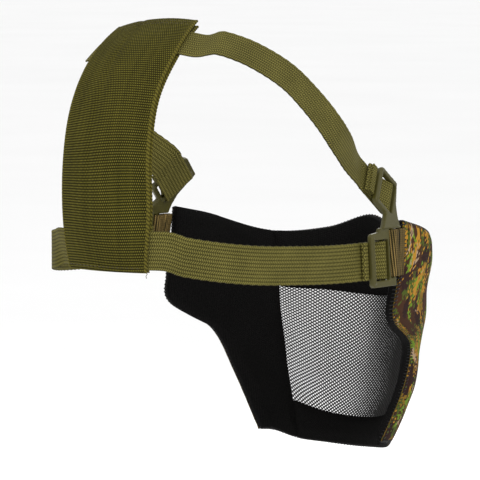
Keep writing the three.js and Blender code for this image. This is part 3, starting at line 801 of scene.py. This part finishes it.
def panel_strap(name, height, shares, material):
    """Strap that lies between the two layers and bends with them."""
    profile = strap_profile(STRAP_WIDTH - 0.4, STRAP_THICK - 0.3, STRAP_ROWS)
    axes = panel_profile_axes(profile, height)
    rings = np.array([panel_ring(profile, axes, share) for share in shares])
    cloth = [np.stack([profile[:, 0], np.full(len(profile), share * PANEL_HALF), profile[:, 2] * 3], 1)
             for share in shares]
    return sweep(name, rings, cloth, material)


# --------------------------------------------------------------------- mask

FULL_ROWS = [np.array([[-x, y, z] for x, y, z in reversed(row[1:])] + row, float) for row in MASK_ROWS]


def mask_surface(t, v):
    return catmull([catmull(row, (t + 1) / 2) for row in FULL_ROWS], v)


def mask_normal(t, v):
    step = 0.01
    across = mask_surface(min(t + step, 1), v) - mask_surface(max(t - step, -1), v)
    up = mask_surface(t, min(v + step, 1)) - mask_surface(t, max(v - step, 0))
    return unit(np.cross(up, across))


def mask_point(t, v, depth):
    return mask_surface(t, v) + mask_normal(t, v) * depth


def inflate(obj, pinned, cap, pressure=4.0, frames=20):
    """Short cloth simulation under pressure; no point moves further than cap."""
    scene = bpy.context.scene
    rest = np.array([v.co for v in obj.data.vertices])
    group = obj.vertex_groups.new(name="pin")
    group.add([int(i) for i in pinned], 1.0, "REPLACE")
    modifier = obj.modifiers.new("Cloth", "CLOTH")
    settings = modifier.settings
    settings.quality = 5
    settings.use_pressure = True
    settings.uniform_pressure_force = pressure
    settings.vertex_group_mass = "pin"
    settings.effector_weights.gravity = 0
    modifier.point_cache.frame_start = 1
    modifier.point_cache.frame_end = frames
    for number in range(1, frames + 1):
        scene.frame_set(number)
    evaluated = obj.evaluated_get(bpy.context.evaluated_depsgraph_get())
    moved = np.array([v.co for v in evaluated.data.vertices])
    obj.modifiers.clear()
    obj.vertex_groups.clear()
    scene.frame_set(1)
    delta = moved - rest
    size = np.linalg.norm(delta, axis=1)
    limit = cap * MM
    factor = np.where(size > 1e-9, limit * np.tanh(size / limit) / np.maximum(size, 1e-9), 0)
    result = rest + delta * factor[:, None]
    obj.data.vertices.foreach_set("co", result.astype(np.float32).ravel())
    obj.data.update()


def padded_piece(name, ts, vs, outer, lining):
    """Quilted piece as one simulated pillow, then parted at its seam into cover and lining."""
    nv, nt = len(vs), len(ts)
    base = np.array([[mask_surface(t, v) for t in ts] for v in vs])
    inward = np.array([[mask_normal(t, v) for t in ts] for v in vs])
    along_t = np.concatenate([np.zeros((nv, 1)), np.cumsum(np.linalg.norm(np.diff(base, axis=1), axis=2), 1)], 1)
    along_v = np.concatenate([np.zeros((1, nt)), np.cumsum(np.linalg.norm(np.diff(base, axis=0), axis=2), 0)], 0)
    from_t = np.minimum(along_t, along_t[:, -1:] - along_t)
    from_v = np.minimum(along_v, along_v[-1:, :] - along_v)
    edge = np.minimum(from_t, from_v)
    soft = 1 - smooth(edge, 0, PAD_EDGE)
    out_depth = 0.25 + 1.15 * soft ** 2
    in_depth = PAD_DEPTH - 0.4 - 1.7 * soft ** 2
    outer_grid = base + inward * out_depth[..., None]
    inner_grid = base + inward * in_depth[..., None]
    border = ([(0, j) for j in range(nt)] + [(i, nt - 1) for i in range(1, nv)]
              + [(nv - 1, j) for j in range(nt - 2, -1, -1)] + [(i, 0) for i in range(nv - 2, 0, -1)])
    around = np.concatenate([[0], np.cumsum([np.linalg.norm(base[border[k]] - base[border[k - 1]])
                                             for k in range(1, len(border))])])
    points = list(outer_grid.reshape(-1, 3)) + list(inner_grid.reshape(-1, 3))
    cloth = [(along_t[i, j] + ts[0] * 110, along_v[i, j], 0) for i in range(nv) for j in range(nt)]
    cloth += [(along_t[i, j], along_v[i, j], 30) for i in range(nv) for j in range(nt)]
    # rings of the side wall: the seam, then three of the lining's gathered edge
    depths = [SEAM_DEPTH, 2.6, 3.9, 4.9]
    ring_start = []
    centre = base[nv // 2, nt // 2]
    for level, depth in enumerate(depths):
        ring_start.append(len(points))
        tuck = 0.45 if level == 0 else 0.12
        for k, (i, j) in enumerate(border):
            toward = centre - base[i, j]
            toward = toward - inward[i, j] * np.dot(toward, inward[i, j])
            points.append(base[i, j] + inward[i, j] * depth + unit(toward) * tuck)
            cloth.append((around[k], depth + (60 if level else 0), 60))
    size = nv * nt
    faces, is_cover = [], []

    def add(a, b, c, d, cover):
        faces.append((a, b, c, d))
        is_cover.append(cover)

    for i in range(nv - 1):
        for j in range(nt - 1):
            a, b, c, d = i * nt + j, i * nt + j + 1, (i + 1) * nt + j + 1, (i + 1) * nt + j
            add(d, c, b, a, True)
            add(size + a, size + b, size + c, size + d, False)
    rings = [[i * nt + j for i, j in border]]
    rings += [[start + k for k in range(len(border))] for start in ring_start]
    rings += [[size + i * nt + j for i, j in border]]
    for level in range(len(rings) - 1):
        for k in range(len(border)):
            m = (k + 1) % len(border)
            low, high = rings[level], rings[level + 1]
            add(low[k], low[m], high[m], high[k], level == 0)
    pillow = mesh_object(name + "_pillow", points, faces)
    fix_facing(pillow)
    inflate(pillow, rings[0] + rings[1] + rings[-1], cap=PAD_SWELL)
    co = np.array([v.co for v in pillow.data.vertices]) / MM
    bpy.data.objects.remove(pillow)
    co = gathered(co, size, nt, nv, edge, border, around, rings, inward)
    pieces = []
    for part, wanted, material in (("cover_cloth", True, outer), ("lining_knit", False, lining)):
        used = [f for f, c in zip(faces, is_cover) if c == wanted]
        index = {}
        for f in used:
            for a in f:
                index.setdefault(a, len(index))
        keep = list(index)
        shell = mesh_object(f"{name}_{part}", co[keep], [[index[a] for a in f] for f in used],
                            np.array(cloth)[keep], material)
        pieces.append(shell)
    for piece in pieces:
        skin = piece.modifiers.new("skin", "SOLIDIFY")
        skin.thickness = PAD_SKIN * MM
        skin.offset = -1
        sub = piece.modifiers.new("smooth", "SUBSURF")
        sub.levels = 1
        sub.render_levels = 1
        apply_modifiers(piece)
    return pieces[0], pieces[1], base, inward, border


def gathered(co, size, nt, nv, edge, border, around, rings, inward):
    """Puckers round the seam and a few soft creases over the faces."""
    co = co.copy()
    flat_edge = edge.reshape(-1)
    normal = inward.reshape(-1, 3)
    phase = [rng.uniform(0, 6.28) for _ in range(6)]
    for a in range(size):
        p = co[a]
        crease = (math.sin(p[2] / 7.3 + p[1] / 11 + phase[0]) * math.sin(p[1] / 9.1 + phase[1])
                  + 0.6 * math.sin(p[2] / 3.9 - p[0] / 5.3 + phase[2]))
        co[a] += normal[a] * 0.16 * crease * min(1, flat_edge[a] / 5)
        q = co[size + a]
        crease = (math.sin(q[2] / 5.1 + phase[3]) * math.sin(q[1] / 6.7 + q[0] / 8 + phase[4]))
        co[size + a] += normal[a] * 0.35 * crease * min(1, flat_edge[a] / 4)
    for k, (i, j) in enumerate(border):
        s = around[k]
        pucker = math.sin(2 * math.pi * s / 4.4 + 1.5 * math.sin(s / 13) + phase[5])
        small = math.sin(2 * math.pi * s / 2.7 + phase[1])
        for level, amount in zip(range(1, len(rings)), (0.05, 0.55, 0.8, 0.6, 0.3)):
            a = rings[level][k]
            out = inward[i, j]
            co[a] += out * amount * (0.55 * pucker + 0.25 * small)
    for i in range(nv):
        for j in range(nt):
            e = edge[i, j]
            if e < PAD_EDGE:
                a = i * nt + j
                s = (i if min(j, nt - 1 - j) * 2 < min(i, nv - 1 - i) * 2 else j) * 2.1
                fade = math.exp(-e / 2.6)
                co[a] += inward[i, j] * 0.22 * fade * math.sin(2 * math.pi * s / 5.2 + phase[0])
                co[size + a] -= inward[i, j] * 0.5 * fade * math.sin(2 * math.pi * s / 4.6 + phase[2])
    return co


def overlock(name, base, inward, border, material, pitch=2.1, radius=0.36, sides=6):
    """Slanted threads that bind the edge, from the cover over the seam on to the lining."""
    edge = np.array([base[i, j] for i, j in border] + [base[border[0]]])
    depth_way = np.array([inward[i, j] for i, j in border] + [inward[border[0]]])
    nv, nt = base.shape[:2]
    toward = []
    for i, j in border + [border[0]]:
        step = base[min(max(i, 1), nv - 2), min(max(j, 1), nt - 2)] - base[i, j]
        step = step - inward[i, j] * np.dot(step, inward[i, j])
        toward.append(unit(step))
    toward = np.array(toward)
    places = arc_lengths(edge)
    # each thread's way round the edge: distance in from it, depth, and slide along it
    course = [(2.6, 0.75, 0.0), (1.2, 0.72, 0.3), (0.2, 1.1, 0.6), (-0.25, 2.0, 0.9), (-0.2, 3.3, 1.2),
              (0.0, 4.7, 1.6)]
    radii = [radius * 0.5] + [radius] * (len(course) - 2) + [radius * 0.5]
    tubes = []
    for k in range(int(places[-1] / pitch)):
        reach = 1 + 0.12 * rng.uniform(-1, 1)
        path = []
        for inset, depth, slide in course:
            s = (k * pitch + slide) % places[-1]
            p, d, w = (at_length(s, places, line) for line in (edge, depth_way, toward))
            path.append(p + unit(w) * inset * reach + unit(d) * depth)
        tubes.append(tube_points(path, radii, sides))
    return threads(name, tubes, material)


# ---------------------------------------------------------------- materials

CAMO = {
    "nose": camo_material("camo_nose", (0, 0, 0)),
    "chin": camo_material("camo_chin", (13, 57, 2)),
    "cheek_left": camo_material("camo_left", (41, 12, 9)),
    "cheek_right": camo_material("camo_right", (86, 33, 5)),
}
LINING = lining_material()
PLASTIC = plastic_material()
STEEL = mesh_material()
STRAP = knit_material("olive_elastic", srgb(16, 15, 4), srgb(62, 58, 22), srgb(124, 117, 60),
                      STRAP_WIDTH / STRAP_ROWS, 1.15)
PANEL = rib_material("olive_webbing", srgb(9, 8, 2), srgb(49, 46, 12), srgb(112, 105, 38), srgb(106, 98, 38))
TAB = yarn_material("tab_yarn", srgb(10, 9, 4), srgb(46, 41, 16), srgb(138, 114, 68), YARN_PITCH)
SEWING = thread_material("olive_thread", srgb(70, 64, 26))
BLACK_THREAD = thread_material("black_thread", srgb(20, 20, 18))

# ---------------------------------------------------------- mask and its mesh


def span(low, high, length, step):
    return np.linspace(low, high, max(int(round(length / step)), 3) + 1)


PADS = {
    "nose": (span(-WINDOW_SIDE + SEAM, WINDOW_SIDE - SEAM, 118, 2.1), span(WINDOW_HIGH, 1, 44, 2.1)),
    "chin": (span(-WINDOW_SIDE + SEAM, WINDOW_SIDE - SEAM, 84, 2.1), span(0, WINDOW_LOW, 22, 1.8)),
    "cheek_left": (span(WINDOW_SIDE, 1, 64, 2.1), span(0, 1, 132, 2.1)),
    "cheek_right": (span(-1, -WINDOW_SIDE, 64, 2.1), span(0, 1, 132, 2.1)),
}
for pad_name, (ts, vs) in PADS.items():
    cover, inner, base, inward, border = padded_piece(pad_name, ts, vs, CAMO[pad_name], LINING)
    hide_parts(f"{pad_name}_cover")
    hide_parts(f"{pad_name}_lining", f"{pad_name}_foam")
    cord = overlock(f"{pad_name}_seam", base, inward, border, BLACK_THREAD)
    for piece in (cover, inner, cord):
        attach(piece, "face_mask")


def wire_mesh(name):
    """Expanded metal: a diamond lattice of flat strands with open cells."""
    t0, t1 = -WINDOW_SIDE + SEAM, WINDOW_SIDE - SEAM
    v0, v1 = WINDOW_LOW + SEAM, WINDOW_HIGH - SEAM
    columns, rows = 40, 36
    step_t, step_v = (t1 - t0) / columns, (v1 - v0) / rows
    points, faces, index = [], [], {}

    def at(t, v):
        key = (round(t, 6), round(v, 6))
        if key not in index:
            index[key] = len(points)
            points.append(mask_point(min(max(t, t0), t1), min(max(v, v0), v1), MESH_DEPTH))
        return index[key]

    for i in range(2 * columns + 1):
        for j in range(2 * rows + 1):
            if (i + j) % 2:
                continue
            ct, cv = t0 + i * step_t / 2, v0 + j * step_v / 2
            corners = [(ct + step_t / 2, cv), (ct, cv + step_v / 2), (ct - step_t / 2, cv), (ct, cv - step_v / 2)]
            corners = [(min(max(t, t0), t1), min(max(v, v0), v1)) for t, v in corners]
            corners = list(dict.fromkeys(corners))
            if len(corners) < 3:
                continue
            mt = sum(c[0] for c in corners) / len(corners)
            mv = sum(c[1] for c in corners) / len(corners)
            inner = [(mt + (t - mt) * 0.54, mv + (v - mv) * 0.54) for t, v in corners]
            for k in range(len(corners)):
                m = (k + 1) % len(corners)
                faces.append((at(*corners[k]), at(*corners[m]), at(*inner[m]), at(*inner[k])))
    obj = mesh_object(name, points, faces, None, STEEL)
    skin = obj.modifiers.new("strand", "SOLIDIFY")
    skin.thickness = 0.6 * MM
    skin.offset = 0
    apply_modifiers(obj)
    return obj


front = wire_mesh("front_wire_mesh")
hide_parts("front_mesh")
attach(front, "face_mask")

# ----------------------------------------------------------------- harness

STRAP_PROFILE = strap_profile(STRAP_WIDTH, STRAP_THICK, STRAP_ROWS)
LOOP_PROFILE = strap_profile(STRAP_WIDTH - 0.2, STRAP_THICK - 0.05, STRAP_ROWS)

for side_name, side in SIDES.items():
    adjuster = f"adjuster_{side_name}"
    for arm in ARMS:
        along, _, _, origin = arm_frame(side, arm)
        loop = flat_strap(f"{arm}_strap_loop_{side_name}", side, arm, loop_path(), LOOP_PROFILE, STRAP)
        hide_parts(f"{arm}_loop_{side_name}")
        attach(loop, adjuster)
        tail_body = f"{arm}_tail_{side_name}"
        tail = flat_strap(f"{arm}_strap_tail_{side_name}", side, arm, tail_path(arm), LOOP_PROFILE, STRAP,
                          start=TAIL_CLOTH_START)
        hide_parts(f"{arm}_tail_{side_name}")
        # the tail stretches between its inner bar and the end of its buckle arm
        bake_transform(tail, adjuster, tail_body, start=(origin + along * 15.4) * MM, end=(origin + along * 20) * MM)

        points, ups, acrosses, places = main_strap(side_name, arm)
        cut = int(np.searchsorted(places, FRONT_RUN))
        parts = ((f"{arm}_strap_front_{side_name}", 0, cut, adjuster, "face_mask", FRONT_BLEND),
                 (f"{arm}_strap_long_{side_name}", cut, len(points) - 1, "face_mask", "back_panel",
                  (FRONT_RUN, places[-1] - LONG_BLEND_END)))
        for piece_name, first, last, body_a, body_b, (s0, s1) in parts:
            rings, cloth = strap_rings(points[first:last + 1], ups[first:last + 1], acrosses[first:last + 1],
                                       places[first:last + 1], STRAP_PROFILE)
            if last == len(points) - 1:
                # the strap's end flattens on to the panel
                entry = STRAP_ENTRY[side_name] if arm == "upper" else SLEEVE_HEIGHT
                rise = panel_axes(entry + 4)[0] - panel_axes(entry - 4)[0]
                sign = 1 if np.dot(acrosses[-1], rise) > 0 else -1
                thin = STRAP_PROFILE * vec(1, 0.75, 1)
                axes = panel_profile_axes(thin, entry, sign)
                for k, place in enumerate(places[first:]):
                    left = places[-1] - place
                    share = smooth(left, *LAY_RUN)
                    if share > 0:
                        laid = panel_ring(thin, axes, -side * (STRAP_END_SHARE + left / LAY_SPAN))
                        rings[k] = rings[k] * (1 - share) + laid * share
            piece = sweep(piece_name, rings, cloth, STRAP)
            ends = [at_length(s, places, points) for s in (s0, s1)]
            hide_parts(f"{arm}_strap_{side_name}")
            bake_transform(piece, body_a, body_b, start=ends[0] * MM, end=ends[1] * MM)
    end = panel_strap(f"upper_strap_sewn_{side_name}", STRAP_ENTRY[side_name],
                      np.linspace(-side * 0.5, -side * 0.83, 8), STRAP)
    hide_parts(f"upper_strap_end_{side_name}")
    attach(end, "back_panel")


def stitch_row(name, length, material, pitch=2.9, stitch=1.9, radius=0.3, sides=6):
    """Row of lockstitches across the panel's outer face."""
    axes = axes_at_length(length)
    level = PANEL_OUTER_LIFT + PANEL_THICK
    ws = np.linspace(-0.93, 0.93, 200)
    line, places = resampled(panel_row(axes, ws, level), 0.4)
    tubes = []
    for k in range(int(places[-1] / pitch)):
        path = []
        for share, lift in ((-0.5, -0.45), (-0.25, 0.0), (0.25, 0.0), (0.5, -0.45)):
            path.append(at_length((k + 0.5) * pitch + share * stitch, places, line) + axes[1] * lift)
        tubes.append(tube_points(path, radius, sides))
    obj = threads(name, tubes, material)
    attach(obj, "back_panel")


stitch_row("panel_stitch_top", PANEL_LENGTH - 3.6, SEWING)
stitch_row("panel_stitch_top_second", PANEL_LENGTH - 6.4, SEWING)
stitch_row("panel_stitch_low", 2.6, SEWING)

# a loose end of thread at the panel's low right corner
corner = panel_row(panel_axes(PANEL_HEIGHTS[0] + 0.6), [0.96, 1.0], 0.5)
drop = [corner[0]] + [corner[1] + vec(*step) for step in ((-0.2, 0.2, -0.9), (0.5, 0.3, -2.2), (0.2, 0.1, -3.4))]
thread = tube_points(smooth_curve(drop, 0.3)[0], 0.17, 6)
loose = sweep("panel_loose_thread", thread, np.zeros(thread.shape), SEWING)
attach(loose, "back_panel")

outer = panel_layer("panel_outer_webbing", PANEL_OUTER_LIFT, PANEL)
inner = panel_layer("panel_inner_webbing", PANEL_INNER_LIFT, PANEL, bow=-0.7, spread=1.012)
back = panel_strap("lower_strap_sleeve", SLEEVE_HEIGHT, np.linspace(-0.83, 0.83, 30), STRAP)
for piece, node, slot_name in ((outer, "panel_outer", "panel_webbing"), (inner, "panel_inner", "panel_webbing"),
                               (back, "lower_strap_back", "strap_elastic")):
    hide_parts(node)
    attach(piece, "back_panel")


# ------------------------------------------------------------------- tabs

def tab(side_name):
    """Webbing folded round the buckle's front bar, cut at a slant where it enters the seam."""
    side = SIDES[side_name]
    _, v, n = plate_frame(side, BUCKLE_LEAN, 0)
    origin = vec(side * BUCKLE_ORIGIN[0], BUCKLE_ORIGIN[1], BUCKLE_ORIGIN[2])
    u = vec(0, 1, 0)
    radius = FRONT_BAR + GAP + TAB_THICK / 2
    path = [(-TAB_REACH, -1.4), (-5, -1.9)] + arc(0, 0, radius, -105, 115, 30) + [(-5, 0.9), (-TAB_REACH, 0.1)]
    line, places = resampled(path, 0.22)
    ws = np.linspace(-TAB_WIDTH / 2, TAB_WIDTH / 2, 34)
    rings, cloth = [], []
    for (a, b), (da, db), place in zip(line, directions(line), places):
        ring, mark = [], []
        for face, row in ((1, ws), (-1, ws[::-1])):
            for w in row:
                strand = abs(math.sin(math.pi * (place + 0.06 * w) / YARN_PITCH))
                end = 1 - 0.6 * smooth(abs(w), TAB_WIDTH / 2 - 0.8, TAB_WIDTH / 2)
                h = face * (TAB_THICK / 2 - 0.2 + 0.2 * strand) * end
                along = a - (TAB_SLANT * w if a < -TAB_REACH / 2 else 0)
                p = origin + u * (along - db * h) + n * (b + da * h) + v * (TAB_CENTRE + w)
                ring.append(p)
                mark.append((w, place, 0 if face > 0 else 3))
        rings.append(ring)
        cloth.append(mark)
    return sweep(f"webbing_tab_{side_name}", rings, cloth, TAB)


# ----------------------------------------------------------------- buckles

def buckle(side_name):
    """Moulded adjuster: the CAD body melted to soft moulded edges, with a raised lip behind each window."""
    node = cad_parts[f"buckle_{side_name}"]
    body = bpy.data.objects.new(f"adjuster_plastic_{side_name}", node.data.copy())
    bpy.context.scene.collection.objects.link(body)
    body.data.materials.clear()
    side = SIDES[side_name]
    extras = [body]
    for arm in ARMS:
        along, across, n, origin = arm_frame(side, arm)
        half = ARMS[arm]["window"] + 1.0
        far = WINDOW_FAR + 0.9
        path = [origin + along * far + across * w + n * (PLATE_THICK / 2 - 0.15) for w in (-half, half)]
        rings = tube_points(resampled(path, 1.0)[0], 0.55, 8)
        extras.append(sweep(f"lip_{arm}_{side_name}", rings, np.zeros(rings.shape), None))
    body = joined(f"adjuster_plastic_{side_name}", extras)
    for attribute in list(body.data.attributes):
        if attribute.name == "cloth":
            body.data.attributes.remove(attribute)
    melt = body.modifiers.new("melt", "REMESH")
    melt.mode = "VOXEL"
    melt.voxel_size = MELT_VOXEL * MM
    relax = body.modifiers.new("relax", "SMOOTH")
    relax.factor = 0.5
    relax.iterations = 5
    apply_modifiers(body)
    body.data.polygons.foreach_set("use_smooth", [True] * len(body.data.polygons))
    body.data.materials.append(PLASTIC)
    return body


for side_name in SIDES:
    strip = tab(side_name)
    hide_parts(f"tab_{side_name}")
    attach(strip, "face_mask")
    plastic = buckle(side_name)
    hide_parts(f"buckle_{side_name}")
    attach(plastic, f"adjuster_{side_name}")

# --------------------------------------------------------- camera and light

AZIMUTH, ELEVATION = math.radians(218), math.radians(5)
AIM = Vector((-4.3, -5.0, 15.0)) * MM
CAMERA_DISTANCE = 2.0
CAMERA_LENS = 277.5
FLOOR_HALF, FLOOR_HEIGHT = 20000, -350
back_way = Vector((math.sin(AZIMUTH) * math.cos(ELEVATION), -math.cos(AZIMUTH) * math.cos(ELEVATION),
                   math.sin(ELEVATION)))
camera = bpy.data.objects.new("camera", bpy.data.cameras.new("camera"))
camera.data.lens = CAMERA_LENS
camera.data.clip_end = 100
camera.location = AIM + back_way * CAMERA_DISTANCE
camera.rotation_euler = back_way.to_track_quat("Z", "Y").to_euler()
bpy.context.scene.collection.objects.link(camera)
bpy.context.scene.camera = camera


def area_light(name, place, power, size, colour=(1, 1, 1)):
    light = bpy.data.lights.new(name, "AREA")
    light.energy = power
    light.size = size
    light.color = colour
    obj = bpy.data.objects.new(name, light)
    obj.location = place
    obj.rotation_euler = Vector(place).to_track_quat("Z", "Y").to_euler()
    bpy.context.scene.collection.objects.link(obj)


area_light("key", (-1.5, 0.9, 1.7), 34, 0.9)
area_light("fill", (0.6, 1.9, 0.7), 8, 1.4)
area_light("front", (0.9, -1.5, 0.9), 14, 1.2)

world = bpy.data.worlds.new("studio")
bpy.context.scene.world = world
world.use_nodes = True
world.node_tree.nodes["Background"].inputs["Color"].default_value = (1, 1, 1, 1)
world.node_tree.nodes["Background"].inputs["Strength"].default_value = 1.02

floor_nodes = Nodes("pale_floor")
floor_grain = floor_nodes.noise(floor_nodes.object_mm(), 0.002, 2)
floor_material = floor_nodes.finish(floor_nodes.mix(floor_grain, (0.9, 0.9, 0.9, 1), (0.95, 0.95, 0.95, 1)), 0.9)
floor_corners = [(x * FLOOR_HALF, y * FLOOR_HALF, FLOOR_HEIGHT) for x, y in ((-1, -1), (1, -1), (1, 1), (-1, 1))]
floor = mesh_object("floor", floor_corners, [(0, 1, 2, 3)], None, floor_material)
bpy.context.scene.view_settings.view_transform = "Standard"
